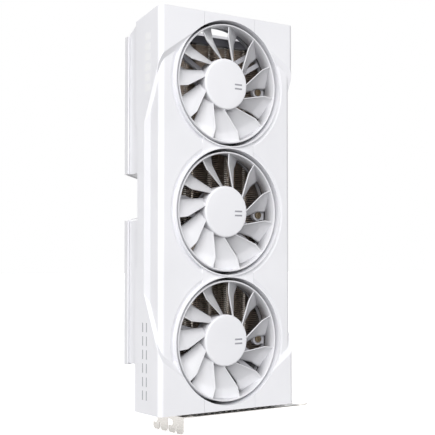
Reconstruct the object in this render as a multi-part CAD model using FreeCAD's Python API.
import FreeCAD, Part
import math
import os

# Triple-fan graphics card, standing on end: the I/O bracket is at the bottom and the fans face -Y.
# Origin: centre of the bracket's outer face. +Z runs along the card's length, +X points to the edge connector,
# and +Y points from the fans to the backplate. Millimetres.

V = FreeCAD.Vector

# Slot standard
SLOT_PITCH = 20.32
BRACKET_BODY = 18.42
BRACKET_LENGTH = 120.02
TAB_LENGTH = 11.43
SHEET = 0.9
TONGUE_WIDTH = 10.19
TONGUE_LENGTH = 7.3
NOTCH_R = 2.21
NOTCH_Z = -4.4

# Cover
LENGTH = 283.0
COVER_X = (-58.0, 60.2)
MID_X = (COVER_X[0] + COVER_X[1]) / 2
HALF = (COVER_X[1] - COVER_X[0]) / 2
FRONT_Y = -28.0
SIDE_BACK_Y = 4.6
BASE_Z = 4.0
TOP_Z = BASE_Z + LENGTH
CORNER_R = 3.7
END_DROP = 7.1
SKIN = 2.0
FRONT_RECESS = 2.0
SIDE_RECESS = 1.65
FRONT_SLOPE = 2.4
SIDE_SLOPE = 3.6
FACET_LOW_Z = 43.0
FACET_TOP_Z = 251.6
FACET_RISE = 0.69
FACET_END = 30.0
STRIP_Y = -7.1
STRIP_RUN = 44.5
MOUTH_STEP_Z = (100.0, 209.0)

# Fans
FAN_X = 1.4
FAN_PITCH = 92.35
FAN_MID_Z = 145.2
FAN_Z = [FAN_MID_Z + n * FAN_PITCH for n in (1, 0, -1)]
OPENING_R = 45.35
LIP = 0.8
LIP_Y = -27.5
DISH_R = 49.6
DISH_DEPTH = 1.7
SEAM = 22.4
DUCT_END_Y = -12.4
HUB_R = 18.6
HUB_FACE_Y = -23.8
HUB_DEPTH = 10.0
RING_R = 43.1
RING_WALL = 1.2
RING_FRONT_Y = -26.0
RING_DEPTH = 11.2
BLADES = 11
BLADE_TURN = 79.3
BLADE_SWEEP = 18.6
BLADE_SPAN = 19.5
BLADE_ROOT_X = 16.0
SWEEP_END_R = 34.5
BLADE_BACK_Y = -15.0
BLADE_T = 1.3
BLADE_SETBACK = 1.2
SHAFT_R = 1.5
BEARING_R = 3.4
RUN_GAP = 0.05
MOTOR_BACK_Y = -12.3
LUG_R = 37.0
LUG_TURNS = (-2.0, 171.0, 261.0)
STRUT_TURNS = ((30.0, 150.0, 270.0), (165.0, 205.0, 325.0), (165.0, 205.0, 325.0))
STRUT_SIDES = ((6.2, 9.4), (-3.3, -0.1))

# Board and cooler
BOARD_Y = 15.2
BOARD_T = 1.6
BOARD_TOP_X = -29.6
BOARD_LOW_X = 73.2
FINGER_X = 81.5
BOARD_Z = (3.0, 190.0)
GPU_X = 20.0
GPU_Z = 95.0
BOARD_HOLES = [(-24.0, 36.0), (-24.0, 184.0), (66.0, 36.0), (66.0, 184.0), (20.0, 184.0)]
GPU_HOLES = [(GPU_X + a, GPU_Z + b) for a in (-26.0, 26.0) for b in (-26.0, 26.0)]
BASE_TOP_Y = 9.4
MID_TOP_Y = 11.4
DIE_TOP_Y = 12.55
CHIP = (6.0, 7.0)
CHIP_T = 1.1
PACKAGE_T = 1.6
INDUCTOR_Z = (42.0, 49.2)
CAN_R = 2.5
FIN_Y = (-8.8, 4.5)
FIN_X = (-53.0, 53.0)
FIN_Z = (38.0, 270.0)
FIN_T = 0.4
FIN_STEP = 2.9
END_LOW_Z = (37.6, 39.6)
END_TOP_Z = (269.0, 273.8)
FLANGE = 5.6
FLANGE_T = 0.35
PIPE_R = 3.0
PIPE_GAP = 0.02
PIPE_Y = 1.2
PIPE_X = (-36.0, -12.0, 4.0, 20.0, 36.0)

# Bracket and its sockets
TAB_X = -33.4
BRACKET_Y = (-(SLOT_PITCH + BRACKET_BODY) / 2, (SLOT_PITCH + BRACKET_BODY) / 2)
ROW_Y = (BRACKET_Y[0] + BRACKET_BODY / 2, BRACKET_Y[1] - BRACKET_BODY / 2)
DISPLAY_X = (-14.0, 10.0, 34.0)
VIDEO_X = 57.0
PORT_Y = BOARD_Y - 4.3
VENT_PITCH = (5.2, 4.6)
BRACKET_SCREW_X = (-26.0, 70.0)
BRACKET_HEAD_R = 2.6

# Power socket
SOCKET_X = (-37.0, -15.0)
SOCKET_Y = BOARD_Y - 10.4
SOCKET_WIDTH = 18.8
CELL = 3.6
CELL_PITCH = 4.2
MOUTH_DEPTH = 6.0

# Back
BACK_Y = 19.5
PLATE_T = 1.2
BACK_HALF = 58.0
EDGE_Y = 15.2
NOTCH_MID_Z = 155.2
WING_LOW_Z = (36.0, 138.5)
WING_TOP_Z = (172.0, 271.5)
WALL_X = -56.3
REAR_WINDOWS = ((198.0, 218.0), (221.0, 241.0), (245.0, 267.0))
CLAMP_HALF = 30.5


def box(x, y, z):
    low = V(min(x), min(y), min(z))
    return Part.makeBox(max(x) - low.x, max(y) - low.y, max(z) - low.z, low)


def rod(r, x, z, y0, y1):
    """A cylinder along Y."""
    return Part.makeCylinder(r, y1 - y0, V(x, y0, z), V(0, 1, 0))


def rod_x(r, y, z, x0, x1):
    return Part.makeCylinder(r, x1 - x0, V(x0, y, z), V(1, 0, 0))


def rod_z(r, x, y, z0, z1):
    return Part.makeCylinder(r, z1 - z0, V(x, y, z0), V(0, 0, 1))


def plate_xz(points, y0, y1):
    """An outline of (X, Z) points, solid from y0 to y1."""
    wire = Part.makePolygon([V(x, y0, z) for x, z in points] + [V(points[0][0], y0, points[0][1])])
    return Part.Face(wire).extrude(V(0, y1 - y0, 0))


def plate_yz(points, x0, x1):
    wire = Part.makePolygon([V(x0, y, z) for y, z in points] + [V(x0, points[0][0], points[0][1])])
    return Part.Face(wire).extrude(V(x1 - x0, 0, 0))


def fuse(shapes):
    first = shapes[0]
    return first.multiFuse(shapes[1:]).removeSplitter() if len(shapes) > 1 else first


def group(shapes):
    """Separate solids that share one node."""
    return Part.makeCompound(shapes)


def save(shape, name):
    solids = shape.Solids
    bad = [s for s in solids if not s.isValid() or s.Volume <= 0]
    print(name, "solids", len(solids), "volume", round(shape.Volume, 1), "BAD" if bad or not solids else "")
    (shape if len(solids) > 1 else solids[0]).exportStep("parts/" + name + ".step")


def screw(head_r, head_h, shank_r, shank_l, x, z, y, way):
    """A screw along Y: its head starts at y and stands out against way, its shank runs along way."""
    head = rod(head_r, x, z, min(y, y - way * head_h), max(y, y - way * head_h))
    shank = rod(shank_r, x, z, min(y, y + way * shank_l), max(y, y + way * shank_l))
    top = y - way * head_h
    arm = head_r * 0.6
    slot = 0.22 * head_r
    depth = way * head_h * 0.6
    cross = box((x - arm, x + arm), (top, top + depth), (z - slot, z + slot))
    cross = cross.fuse(box((x - slot, x + slot), (top, top + depth), (z - arm, z + arm)))
    return head.fuse(shank).removeSplitter().cut(cross)


# ---- cover ----

def facet_outline(grow, y):
    """The recessed front panel's outline on the plane at y, drawn in by grow."""
    x = HALF + 2
    low = FACET_LOW_Z + grow + 2 * FACET_RISE
    high = FACET_TOP_Z - grow - 2 * FACET_RISE
    rise = (x - FACET_END) * FACET_RISE
    points = [(-x, low), (-FACET_END, low - rise), (FACET_END, low - rise), (x, low),
              (x, high), (FACET_END, high + rise), (-FACET_END, high + rise), (-x, high), (-x, low)]
    return Part.makePolygon([V(MID_X + a, y, b) for a, b in points])


def strip_outline(grow, x):
    """The recessed side panel's outline on the plane at x, drawn in by grow."""
    back = STRIP_Y - grow
    front = FRONT_Y - 2
    slant = STRIP_RUN / (STRIP_Y - FRONT_Y)
    reach = (back - front) * slant
    low = FACET_LOW_Z + grow - 2 * slant
    high = FACET_TOP_Z - grow + 2 * slant
    points = [(front, low), (back, low + reach), (back, high - reach), (front, high), (front, low)]
    return Part.makePolygon([V(x, a, b) for a, b in points])


def facet_cuts():
    """Wedges that slope from the outer faces down past the recessed middle."""
    deep = 5.0
    pairs = [(facet_outline(0, FRONT_Y), facet_outline(FRONT_SLOPE * deep, FRONT_Y + deep))]
    for side, way in ((COVER_X[0], 1), (COVER_X[1], -1)):
        pairs.append((strip_outline(0, side), strip_outline(SIDE_SLOPE * deep, side + way * deep)))
    return [Part.makeLoft(list(pair), True, True) for pair in pairs]


def rounded_block(inset_x, inset_y, z):
    """A block as wide as the cover, with its two front corners rounded."""
    block = box((COVER_X[0] + inset_x, COVER_X[1] - inset_x), (FRONT_Y + inset_y, SIDE_BACK_Y), z)
    corners = [e for e in block.Edges if e.Length > (z[1] - z[0]) - 0.1 and e.Vertexes[0].Y < 0
               and abs(e.Vertexes[0].Z - e.Vertexes[-1].Z) > 1]
    return block.makeFillet(CORNER_R, corners)


def dish(z):
    """The shallow cone round one fan's mouth, less its raised lip."""
    floor_y = FRONT_Y + FRONT_RECESS
    cone = Part.makeCone(DISH_R, OPENING_R + LIP, DISH_DEPTH, V(FAN_X, floor_y, z), V(0, 1, 0))
    above = rod(DISH_R, FAN_X, z, floor_y - 1, floor_y)
    return fuse([cone, above])


def cover_block():
    body = rounded_block(0, 0, (BASE_Z, TOP_Z))
    for wedge in facet_cuts():
        body = body.cut(wedge)
    middle = rounded_block(SIDE_RECESS, FRONT_RECESS, (BASE_Z + 1, TOP_Z - END_DROP - 1))
    strip = box((FAN_X - SEAM, FAN_X + SEAM), (FRONT_Y - 1, FRONT_Y + 8), (BASE_Z - 1, TOP_Z + 1))
    for z in FAN_Z:
        middle = middle.cut(dish(z).cut(strip))
    body = body.fuse(middle)
    top_slope = [(FRONT_Y, TOP_Z), (SIDE_BACK_Y + 1, TOP_Z + 1), (SIDE_BACK_Y + 1, TOP_Z - END_DROP)]
    body = body.cut(plate_yz(top_slope, COVER_X[0] - 1, COVER_X[1] + 1))
    # The side walls stop a little short along the middle.
    z0, z1 = MOUTH_STEP_Z
    step = [(SIDE_BACK_Y, z0), (SIDE_BACK_Y - 2.7, z0 + 6), (SIDE_BACK_Y - 2.7, z1 - 6), (SIDE_BACK_Y, z1)]
    for side, way in ((COVER_X[0], 1), (COVER_X[1], -1)):
        body = body.cut(plate_yz(step, side - way, side + way * (SKIN + 4)))
    return body


def make_cover():
    body = cover_block()
    inset = SIDE_RECESS + SKIN
    inner_x = (COVER_X[0] + inset, COVER_X[1] - inset)
    inner_y = (FRONT_Y + FRONT_RECESS + SKIN, SIDE_BACK_Y + 1)
    body = body.cut(box(inner_x, inner_y, (BASE_Z + SKIN, TOP_Z - END_DROP - SKIN)))
    # Vent windows in both ends.
    body = body.cut(box((-46, 46), (FRONT_Y + 8, SIDE_BACK_Y + 1), (TOP_Z - END_DROP - SKIN - 1, TOP_Z + 1)))
    body = body.cut(box((-50, 50), (FRONT_Y + 9, SIDE_BACK_Y + 1), (BASE_Z - 1, BASE_Z + SKIN + 1)))
    body = fuse([body] + [rod(OPENING_R + LIP, FAN_X, z, LIP_Y, DUCT_END_Y) for z in FAN_Z])
    for z in FAN_Z:
        body = body.cut(rod(OPENING_R, FAN_X, z, FRONT_Y - 1, DUCT_END_Y + 1))
    # Fine seams beside the centre strip.
    for x in (FAN_X - SEAM, FAN_X + SEAM):
        seam_y = (FRONT_Y - 1, FRONT_Y + FRONT_RECESS + 0.3)
        body = body.cut(box((x - 0.12, x + 0.12), seam_y, (BASE_Z - 1, TOP_Z + 1)))
    return max(body.Solids, key=lambda s: s.Volume)


# ---- fans ----

def blade_section(x, lead, y0, y1):
    """A thin cambered section on the plane at x; it starts at the angle lead and runs back and clockwise."""
    top = []
    under = []
    steps = 6
    width = x * math.radians(BLADE_SPAN)
    run = math.hypot(y1 - y0, width)
    for n in range(steps + 1):
        t = n / steps
        z = x * math.tan(math.radians(lead - BLADE_SPAN * t ** 1.15))
        y = y0 + (y1 - y0) * t ** 0.85
        half = BLADE_T / 2 * (0.45 + 0.55 * math.sin(math.pi * (0.15 + 0.80 * t)))
        top.append(V(x, y + half * width / run, z + half * (y1 - y0) / run))
        under.append(V(x, y - half * width / run, z - half * (y1 - y0) / run))
    a = Part.BSplineCurve()
    a.interpolate(top)
    b = Part.BSplineCurve()
    b.interpolate(list(reversed(under)))
    return Part.Wire([a.toShape(), Part.makeLine(top[-1], under[-1]), b.toShape(), Part.makeLine(under[0], top[0])])


def make_blade():
    """A blade whose front edge sweeps round as far as SWEEP_END_R and then runs straight out to the ring."""
    sections = []
    for x in (BLADE_ROOT_X, 22.5, 28.5, SWEEP_END_R - 0.5, RING_R - 0.9):
        out = min(1.0, max(0.0, (x - HUB_R) / (SWEEP_END_R - HUB_R)))
        front = HUB_FACE_Y + BLADE_SETBACK + out * (RING_FRONT_Y + BLADE_SETBACK - HUB_FACE_Y - BLADE_SETBACK)
        sections.append(blade_section(x, BLADE_SWEEP * (out - 0.5), front, BLADE_BACK_Y))
    blade = Part.makeLoft(sections, True, False)
    return blade.common(rod(RING_R - 0.3, 0, 0, -40, 0)).cut(rod(HUB_R - 0.8, 0, 0, -40, 0))


def make_rotor():
    """Hub cup, outer ring and swept blades, about the Y axis through the origin."""
    cup = rod(HUB_R, 0, 0, HUB_FACE_Y, HUB_FACE_Y + HUB_DEPTH)
    rim = [e for e in cup.Edges if e.Length > 50 and e.CenterOfMass.y < HUB_FACE_Y + 0.1]
    cup = cup.makeFillet(1.2, rim)
    cup = cup.cut(rod(HUB_R - 1.4, 0, 0, HUB_FACE_Y + 1.6, HUB_FACE_Y + HUB_DEPTH + 1))
    boss = rod(3.2, 0, 0, HUB_FACE_Y + 1.0, HUB_FACE_Y + 3.4)
    ring_back = RING_FRONT_Y + RING_DEPTH
    ring = rod(RING_R, 0, 0, RING_FRONT_Y, ring_back)
    ring = ring.cut(rod(RING_R - RING_WALL, 0, 0, RING_FRONT_Y - 1, ring_back + 1))
    blade = make_blade()
    blades = []
    for n in range(BLADES):
        copy = blade.copy()
        copy.rotate(V(0, 0, 0), V(0, 1, 0), -(BLADE_TURN + n * 360 / BLADES))
        blades.append(copy)
    shell = fuse([cup, ring, boss] + blades)
    return shell.cut(rod(SHAFT_R, 0, 0, HUB_FACE_Y + 1.6, 0))


def make_shaft():
    return rod(SHAFT_R, 0, 0, HUB_FACE_Y + 1.6, MOTOR_BACK_Y - 0.3)


def make_magnet():
    outer = HUB_R - 1.4
    return rod(outer, 0, 0, HUB_FACE_Y + 3.2, HUB_FACE_Y + 9.4).cut(rod(outer - 1.6, 0, 0, -40, 0))


def make_bearing():
    tube = rod(BEARING_R, 0, 0, HUB_FACE_Y + 4.4, MOTOR_BACK_Y)
    return tube.cut(rod(SHAFT_R + RUN_GAP, 0, 0, HUB_FACE_Y + 4.0, MOTOR_BACK_Y))


def make_stator():
    """Four-pole wound core round the bearing tube."""
    front = HUB_FACE_Y + 5.6
    back = MOTOR_BACK_Y - 2.7
    poles = [rod(6.2, 0, 0, front - 0.8, back + 0.8)]
    for n in range(4):
        arm = box((0, 11.5), (front, back), (-2.2, 2.2))
        shoe = rod(13.4, 0, 0, front, back).cut(rod(11.2, 0, 0, -40, 0))
        shoe = shoe.common(box((7.0, 14.0), (-40, 0), (-7.5, 7.5)))
        pole = arm.fuse(shoe)
        pole.rotate(V(0, 0, 0), V(0, 1, 0), 90 * n + 45)
        poles.append(pole)
    return fuse(poles).cut(rod(BEARING_R, 0, 0, -40, 0))


def lug_places():
    return [math.radians(a) for a in LUG_TURNS]


def make_fan_frame(strut_turns):
    """Motor base, pairs of struts, a rear ring and three inward screw lugs."""
    back = FIN_Y[0] - 0.4
    base = rod(HUB_R - 0.7, 0, 0, MOTOR_BACK_Y, back)
    ring = rod(OPENING_R + LIP - 0.3, 0, 0, DUCT_END_Y, back).cut(rod(42.6, 0, 0, -20, 0))
    parts = [base, ring]
    for a in strut_turns:
        for side in STRUT_SIDES:
            strut = box((10.0, 43.6), (-12.1, back), side)
            strut.rotate(V(0, 0, 0), V(0, 1, 0), -a)
            parts.append(strut)
    for a in lug_places():
        x = LUG_R * math.cos(a)
        z = LUG_R * math.sin(a)
        arm = box((LUG_R, 44.0), (-12.1, back), (-3.4, 3.4))
        arm.rotate(V(0, 0, 0), V(0, 1, 0), -math.degrees(a))
        parts.append(arm)
        parts.append(rod(4.2, x, z, -12.1, back))
    frame = fuse(parts)
    for a in lug_places():
        frame = frame.cut(rod(1.5, LUG_R * math.cos(a), LUG_R * math.sin(a), -20, 0))
    return frame


def fan_screws():
    back = FIN_Y[0] - 0.4
    screws = []
    for z in FAN_Z:
        for a in lug_places():
            px = FAN_X + LUG_R * math.cos(a)
            pz = z + LUG_R * math.sin(a)
            head = rod(2.6, px, pz, -13.3, -12.1)
            shank = rod(1.4, px, pz, -12.1, back)
            slot = box((px - 1.6, px + 1.6), (-13.4, -12.8), (pz - 0.35, pz + 0.35))
            slot = slot.fuse(box((px - 0.35, px + 0.35), (-13.4, -12.8), (pz - 1.6, pz + 1.6)))
            screws.append(head.fuse(shank).removeSplitter().cut(slot))
    return group(screws)


def at_fan(shape, n):
    copy = shape.copy()
    copy.translate(V(FAN_X, 0, FAN_Z[n]))
    return copy


# ---- cooler ----

def make_fins():
    """The fin stack: thin plates across the card's length, pierced by the heat pipes."""
    z0, z1 = FIN_Z
    plate = box(FIN_X, FIN_Y, (0, FIN_T))
    for x in PIPE_X:
        plate = plate.cut(rod_z(PIPE_R + PIPE_GAP, x, PIPE_Y, -1, 2))
    count = int((z1 - z0 - 2.4) / FIN_STEP)
    fins = []
    for n in range(count):
        fin = plate.copy()
        fin.translate(V(0, 0, z0 + 2.4 + n * FIN_STEP))
        fins.append(fin)
    return group(fins)


def end_plate(z, flange_z):
    """A plate closing one end of the fins, with a flange folded over them at the front."""
    x = (FIN_X[0] - 0.4, FIN_X[1] + 0.4)
    plate = box(x, FIN_Y, z).fuse(box(x, (FIN_Y[0] - FLANGE_T, FIN_Y[0]), flange_z)).removeSplitter()
    for x in PIPE_X:
        plate = plate.cut(rod_z(PIPE_R + PIPE_GAP, x, PIPE_Y, z[0] - 1, z[1] + 1))
    return plate


def make_pipes():
    pipes = []
    for n, x in enumerate(PIPE_X):
        pipe = rod_z(PIPE_R, x, PIPE_Y, FIN_Z[0] + 0.8, FIN_Z[1] + 2.6)
        pipes.append(pipe)
    return group(pipes)


def make_base():
    """Cold plate with its pedestal, grooved for the pipes."""
    base = box((-44, 50), (FIN_Y[1] + 0.02, BASE_TOP_Y), (62, 130))
    pedestal = box((GPU_X - 17, GPU_X + 17), (BASE_TOP_Y, DIE_TOP_Y), (GPU_Z - 17, GPU_Z + 17))
    posts = [rod(3.0, x, z, BASE_TOP_Y, BOARD_Y) for x, z in GPU_HOLES]
    base = fuse([base, pedestal] + posts)
    for x, z in GPU_HOLES:
        base = base.cut(rod(1.5, x, z, BASE_TOP_Y + 0.2, BOARD_Y + 1))
    return base


def make_frame_plate():
    """Cast mid plate between cooler and board, open round the cold plate."""
    plate = box((-50, 64), (MID_TOP_Y - 1.5, MID_TOP_Y), (30, 186))
    plate = plate.cut(box((GPU_X - 30, GPU_X + 30), (9, 12), (GPU_Z - 30, GPU_Z + 30)))
    plate = plate.cut(box((-51, -12), (9, 12), (138, 172)))
    return plate


# ---- board ----

def make_board():
    board = box((BOARD_TOP_X, BOARD_LOW_X), (BOARD_Y, BOARD_Y + BOARD_T), BOARD_Z)
    edge_a = box((BOARD_LOW_X, FINGER_X), (BOARD_Y, BOARD_Y + BOARD_T), (46.0, 57.15))
    edge_b = box((BOARD_LOW_X, FINGER_X), (BOARD_Y, BOARD_Y + BOARD_T), (59.05, 130.4))
    hook = plate_xz([(BOARD_LOW_X, 132.6), (FINGER_X - 1.6, 132.6), (FINGER_X - 1.6, 136.2),
                     (FINGER_X - 3.4, 138.6), (BOARD_LOW_X, 138.6)], BOARD_Y, BOARD_Y + BOARD_T)
    board = fuse([board, edge_a, edge_b, hook])
    for x, z in BOARD_HOLES:
        board = board.cut(rod(1.6, x, z, 10, 20))
    for x, z in GPU_HOLES:
        board = board.cut(rod(1.6, x, z, 10, 20))
    return board


def make_contacts():
    """Gold pads on both faces of the edge connector."""
    pads = []
    for face_y in (BOARD_Y - 0.06, BOARD_Y + BOARD_T):
        for start, count in ((46.0, 11), (59.05, 71)):
            for n in range(count):
                z = start + 0.15 + n
                pads.append(box((BOARD_LOW_X + 2.2, FINGER_X - 0.9), (face_y, face_y + 0.06), (z, z + 0.7)))
    return group(pads)


def processor_block(half_x, half_z, y):
    return box((GPU_X - half_x, GPU_X + half_x), y, (GPU_Z - half_z, GPU_Z + half_z))


def memory_places():
    """Three chips at each side of the processor and two above it."""
    sides = [(GPU_X + a, GPU_Z + b) for a in (-37, 37) for b in (-24, -6, 12)]
    return sides + [(GPU_X - 20, GPU_Z + 40), (GPU_X + 6, GPU_Z + 40)]


def chip_row(y):
    """A block over each memory chip's outline, between the two levels in y."""
    return group([box((x - CHIP[0], x + CHIP[0]), y, (z - CHIP[1], z + CHIP[1])) for x, z in memory_places()])


def make_inductors():
    first_x = BOARD_TOP_X + 7.6
    return group([box((first_x + n * 11.0, first_x + n * 11.0 + 7.5), (BOARD_Y - 3.6, BOARD_Y), INDUCTOR_Z)
                  for n in range(7)])


def make_capacitors():
    """Two rows of upright cans."""
    places = [(40.0, 150.0 + n * 5.6) for n in range(6)] + [(58.0, 146.0 + n * 6.4) for n in range(4)]
    return group([rod(CAN_R, x, z, BOARD_Y - 3.4, BOARD_Y) for x, z in places])


def cell_corners():
    """The low corner (y, z) of each contact's cell, two rows of four."""
    z0 = NOTCH_MID_Z - 1.5 * CELL_PITCH - CELL / 2
    return [(SOCKET_Y + 0.9 + row * 4.5, z0 + col * CELL_PITCH) for row in range(2) for col in range(4)]


def make_power_socket():
    """Eight-way supply socket, open to -X."""
    z = (NOTCH_MID_Z - SOCKET_WIDTH / 2, NOTCH_MID_Z + SOCKET_WIDTH / 2)
    body = box(SOCKET_X, (SOCKET_Y, BOARD_Y), z)
    body = body.cut(box((SOCKET_X[0] - 1, SOCKET_X[0] + MOUTH_DEPTH), (SOCKET_Y + 0.8, BOARD_Y - 0.8),
                        (z[0] + 0.9, z[1] - 0.9)))
    for y, z in cell_corners():
        body = body.cut(box((SOCKET_X[0], -24.0), (y, y + CELL), (z, z + CELL)))
    return body


def make_power_pins():
    pins = []
    for y, z in cell_corners():
        mid_y = y + CELL / 2
        mid_z = z + CELL / 2
        tip = SOCKET_X[0] + MOUTH_DEPTH + 0.5
        pins.append(box((tip, -24.0), (mid_y - 0.5, mid_y + 0.5), (mid_z - 0.5, mid_z + 0.5)))
    return group(pins)


# ---- bracket and its sockets ----

def make_bracket():
    length = BRACKET_LENGTH - TONGUE_LENGTH
    plate = box((TAB_X, TAB_X + length), BRACKET_Y, (0, SHEET))
    # The body narrows to the plain slot width in a chamfer, one tongue per slot.
    for y in ROW_Y:
        w = TONGUE_WIDTH / 2
        root = TAB_X + length
        tip = TAB_X + BRACKET_LENGTH
        outline = [(root, y - w), (tip - 2, y - w), (tip, y - w + 2.6), (tip, y + w - 2.6), (tip - 2, y + w),
                   (root, y + w), (root, y - w)]
        wire = Part.makePolygon([V(a, b, 0) for a, b in outline])
        plate = plate.fuse(Part.Face(wire).extrude(V(0, 0, SHEET)))
    gap = SLOT_PITCH - BRACKET_BODY
    plate = plate.cut(box((TAB_X + length - 9, TAB_X + length + 1), (-gap / 2, gap / 2), (-1, 2)))
    tab = box((TAB_X, TAB_X + SHEET), BRACKET_Y, (-TAB_LENGTH, SHEET))
    front = BRACKET_Y[0]
    for n in range(2):
        y1 = front + BRACKET_BODY + n * SLOT_PITCH
        y0 = y1 - BRACKET_BODY
        # Screw notch, open towards the next slot.
        tab = tab.cut(rod_x(NOTCH_R, y1 - 3.4, NOTCH_Z, TAB_X - 1, TAB_X + 2))
        tab = tab.cut(box((TAB_X - 1, TAB_X + 2), (y1 - 3.4, y1 + 0.1), (NOTCH_Z - NOTCH_R, NOTCH_Z + NOTCH_R)))
        # Narrow slit from the outer end with rounded mouth.
        mid = y1 - 9.2
        tab = tab.cut(box((TAB_X - 1, TAB_X + 2), (mid - 0.9, mid + 0.9), (-TAB_LENGTH - 1, -TAB_LENGTH + 5.0)))
        tab = tab.cut(plate_yz([(mid - 2.2, -TAB_LENGTH - 0.1), (mid - 0.9, -TAB_LENGTH + 1.8),
                                (mid + 0.9, -TAB_LENGTH + 1.8), (mid + 2.2, -TAB_LENGTH - 0.1)], TAB_X - 1, TAB_X + 2))
        # Rounded outer corners.
        for y, way in ((y0, 1), (y1, -1)):
            tab = tab.cut(plate_yz([(y, -TAB_LENGTH), (y + way * 1.8, -TAB_LENGTH), (y, -TAB_LENGTH + 1.8)],
                                   TAB_X - 1, TAB_X + 2))
    tab = tab.cut(box((TAB_X - 1, TAB_X + 2), (-gap / 2, gap / 2), (-TAB_LENGTH - 1, -1.6)))
    bracket = fuse([plate, tab])
    # Ports in the back row, vents in the front row.
    for x in DISPLAY_X:
        bracket = bracket.cut(box((x - 8.5, x + 8.5), (PORT_Y - 2.9, PORT_Y + 2.9), (-1, 2)))
    bracket = bracket.cut(box((VIDEO_X - 7.9, VIDEO_X + 7.9), (PORT_Y - 3.1, PORT_Y + 3.1), (-1, 2)))
    for column in range(17):
        x = TAB_X + 10 + column * VENT_PITCH[0]
        for row in (-1, 0, 1):
            y = ROW_Y[0] + row * VENT_PITCH[1]
            bracket = bracket.cut(box((x - 1.9, x + 1.9), (y - 1.8, y + 1.8), (-1, 2)))
    for x in BRACKET_SCREW_X:
        bracket = bracket.cut(Part.makeCone(BRACKET_HEAD_R, 1.6, SHEET, V(x, BOARD_Y - 9.0, 0), V(0, 0, 1)))
    return bracket


def make_bracket_blocks():
    """Angle lugs that tie the bracket to the board."""
    blocks = []
    for x in BRACKET_SCREW_X:
        block = box((x - 3, x + 3), (BOARD_Y - 12.0, BOARD_Y), (SHEET, SHEET + 8))
        block = block.cut(box((x - 4, x + 4), (BOARD_Y - 13.0, BOARD_Y - 1.2), (SHEET + 1.4, SHEET + 9)))
        block = block.cut(rod_z(1.25, x, BOARD_Y - 9.0, 0, 12))
        blocks.append(block)
    return group(blocks)


def make_bracket_screws():
    """Flat-headed screws, flush with the bracket's face."""
    screws = []
    for x in BRACKET_SCREW_X:
        y = BOARD_Y - 9.0
        head = Part.makeCone(BRACKET_HEAD_R, 1.6, SHEET, V(x, y, 0), V(0, 0, 1))
        shank = rod_z(1.25, x, y, 0.2, SHEET + 1.4)
        slot = box((x - 1.7, x + 1.7), (y - 0.35, y + 0.35), (-0.1, 0.5))
        screws.append(head.fuse(shank).removeSplitter().cut(slot))
    return group(screws)


def make_port(x, half_w, half_h):
    """A metal display socket with a tongue inside, open to -Z and flush with the bracket's face."""
    shell = box((x - half_w, x + half_w), (PORT_Y - half_h, PORT_Y + half_h), (0, 17))
    inner_w = half_w - 0.6
    inner_h = half_h - 0.6
    shell = shell.cut(box((x - inner_w, x + inner_w), (PORT_Y - inner_h, PORT_Y + inner_h), (-2, 8)))
    tongue = box((x - half_w + 2, x + half_w - 2), (PORT_Y - 0.5, PORT_Y + 0.5), (3.6, 8.5))
    foot = box((x - half_w, x + half_w), (PORT_Y + half_h, BOARD_Y), (4, 17))
    return fuse([shell, tongue, foot])


# ---- back ----

def make_backplate():
    low = 8.0
    outline = [(-44.0, low), (66.0, low), (71.0, low + 5), (71.0, 184.0), (62.0, 193.0), (BACK_HALF, 193.0),
               (BACK_HALF, 264.0), (50.0, WING_TOP_Z[1]), (-BACK_HALF, WING_TOP_Z[1]), (-BACK_HALF, WING_TOP_Z[0]),
               (-40.0, WING_TOP_Z[0] - 4.8), (-40.0, WING_LOW_Z[1] + 4.8), (-BACK_HALF, WING_LOW_Z[1]),
               (-BACK_HALF, WING_LOW_Z[0]), (-44.0, WING_LOW_Z[0])]
    plate = plate_xz(outline, BACK_Y - PLATE_T, BACK_Y)
    parts = [plate]
    for z in (WING_LOW_Z, WING_TOP_Z):
        parts.append(box((-BACK_HALF, -BACK_HALF + PLATE_T), (EDGE_Y, BACK_Y), z))
    plate = fuse(parts)
    # Flow-through windows beyond the board, parted by bars.
    for z in REAR_WINDOWS:
        plate = plate.cut(box((-48.0, 48.0), (0, 30), z))
    # Slanted slots behind the processor's regulators.
    for n in range(9):
        z = WING_LOW_Z[0] + 8.0 + n * 5.0
        plate = plate.cut(plate_xz([(-44, z), (-30, z + 4), (-30, z + 6.4), (-44, z + 2.4)], 0, 30))
    window_x = (GPU_X - CLAMP_HALF, GPU_X + CLAMP_HALF)
    window_z = (GPU_Z - CLAMP_HALF, GPU_Z + CLAMP_HALF)
    plate = plate.cut(box(window_x, (0, 30), window_z))
    for x, z in BOARD_HOLES:
        plate = plate.cut(rod(1.6, x, z, 10, 30))
    return plate


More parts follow.
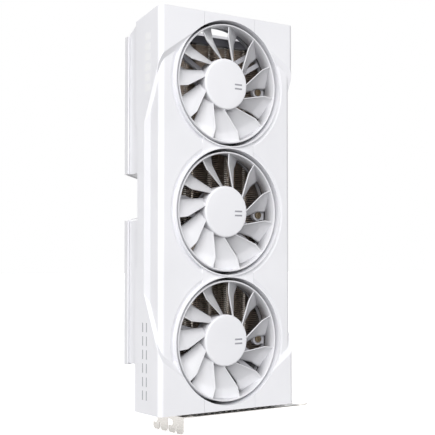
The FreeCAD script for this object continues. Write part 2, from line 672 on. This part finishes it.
def make_rear_frame():
    """Side walls between cover and backplate, with the slanted end and a right-hand wall past the board."""
    y0 = SIDE_BACK_Y
    y1 = BACK_Y - PLATE_T
    t = 1.5
    walls = []
    low, high = WING_LOW_Z[0] + 1.0, WING_LOW_Z[1]
    walls.append(box((WALL_X, WALL_X + t), (y0, y1), (low, high)))
    walls.append(box((WALL_X, -52.0), (y0, y1), (low, low + t)))
    slant = [(WALL_X, high), (-42.0, high + 4.0), (-42.0, high + 4.0 - t), (WALL_X, high - t)]
    walls.append(plate_xz(slant, y0, y1))
    low, high = WING_TOP_Z[0], WING_TOP_Z[1] - 0.4
    walls.append(box((WALL_X, WALL_X + t), (y0, y1), (low, high)))
    slant = [(WALL_X, low), (-42.0, low - 4.0), (-42.0, low - 4.0 + t), (WALL_X, low + t)]
    walls.append(plate_xz(slant, y0, y1))
    walls.append(box((-WALL_X - t, -WALL_X), (y0, y1), (196.0, high)))
    end = plate_yz([(y0, TOP_Z - END_DROP - 0.4), (y1, WING_TOP_Z[1]), (y1, WING_TOP_Z[1] - t - 0.6),
                    (y0, TOP_Z - END_DROP - t - 1.0)], WALL_X, -WALL_X)
    walls.append(end)
    low_wing = fuse(walls[:3])
    upper = fuse(walls[3:])
    side_fill = plate_yz([(y0, high), (y1, high), (y0, TOP_Z - END_DROP - 0.4)], WALL_X, WALL_X + t)
    side_fill_r = plate_yz([(y0, high), (y1, high), (y0, TOP_Z - END_DROP - 0.4)], -WALL_X - t, -WALL_X)
    upper = fuse([upper, side_fill, side_fill_r])
    return group([low_wing, upper])


def make_back_screws():
    return group([screw(2.8, 1.1, 1.55, BACK_Y - BOARD_Y, x, z, BACK_Y, -1) for x, z in BOARD_HOLES])


def make_clamp():
    """Cross-shaped spring plate behind the processor."""
    y0 = BOARD_Y + BOARD_T
    plate = box((GPU_X - 9, GPU_X + 9), (y0 + 1.0, y0 + 2.2), (GPU_Z - 9, GPU_Z + 9))
    for way in (45, 135):
        arm = box((-40, 40), (y0 + 1.0, y0 + 2.2), (-3.6, 3.6))
        arm.rotate(V(0, 0, 0), V(0, 1, 0), way)
        arm.translate(V(GPU_X, 0, GPU_Z))
        plate = plate.fuse(arm)
    plate = plate.common(box((GPU_X - 30, GPU_X + 30), (0, 30), (GPU_Z - 30, GPU_Z + 30))).removeSplitter()
    for x, z in GPU_HOLES:
        plate = plate.cut(rod(1.6, x, z, 10, 30))
    return plate


def make_clamp_screws():
    y0 = BOARD_Y + BOARD_T + 2.2
    return group([screw(2.6, 0.5, 1.5, y0 - BASE_TOP_Y - 0.4, x, z, y0, -1) for x, z in GPU_HOLES])


def main():
    os.makedirs("parts", exist_ok=True)
    save(make_cover(), "fan_cover")
    rotor = make_rotor()
    for n in range(3):
        tag = "_" + str(n + 1)
        save(at_fan(rotor, n), "rotor" + tag)
        save(at_fan(make_shaft(), n), "rotor_shaft" + tag)
        save(at_fan(make_magnet(), n), "rotor_magnet" + tag)
        save(at_fan(make_fan_frame(STRUT_TURNS[n]), n), "fan_frame" + tag)
        save(at_fan(make_stator(), n), "stator" + tag)
        save(at_fan(make_bearing(), n), "bearing" + tag)
    save(fan_screws(), "fan_screws")
    save(make_fins(), "fin_stack")
    save(end_plate(END_TOP_Z, (END_TOP_Z[1] - FLANGE, END_TOP_Z[1])), "fin_end_top")
    save(end_plate(END_LOW_Z, (END_LOW_Z[0], END_LOW_Z[0] + FLANGE)), "fin_end_low")
    save(make_pipes(), "heat_pipes")
    save(make_base(), "cold_plate")
    save(make_frame_plate(), "mid_plate")
    save(make_board(), "circuit_board")
    save(make_contacts(), "edge_contacts")
    save(processor_block(20, 20, (BOARD_Y - PACKAGE_T, BOARD_Y)), "processor_package")
    save(processor_block(8, 11, (DIE_TOP_Y, BOARD_Y - PACKAGE_T)), "processor_die")
    save(chip_row((BOARD_Y - CHIP_T, BOARD_Y)), "memory_chips")
    save(chip_row((MID_TOP_Y, BOARD_Y - CHIP_T)), "thermal_pads")
    save(make_inductors(), "inductors")
    save(make_capacitors(), "capacitors")
    save(make_power_socket(), "power_socket")
    save(make_power_pins(), "power_pins")
    save(make_bracket(), "io_bracket")
    save(make_bracket_blocks(), "bracket_lugs")
    save(make_bracket_screws(), "bracket_screws")
    for n, x in enumerate(DISPLAY_X):
        save(make_port(x, 8.3, 2.7), "display_port_" + str(n + 1))
    save(make_port(VIDEO_X, 7.7, 2.9), "video_port")
    save(make_backplate(), "backplate")
    save(make_rear_frame(), "rear_frame")
    save(make_back_screws(), "back_screws")
    save(make_clamp(), "clamp_spring")
    save(make_clamp_screws(), "clamp_screws")


main()
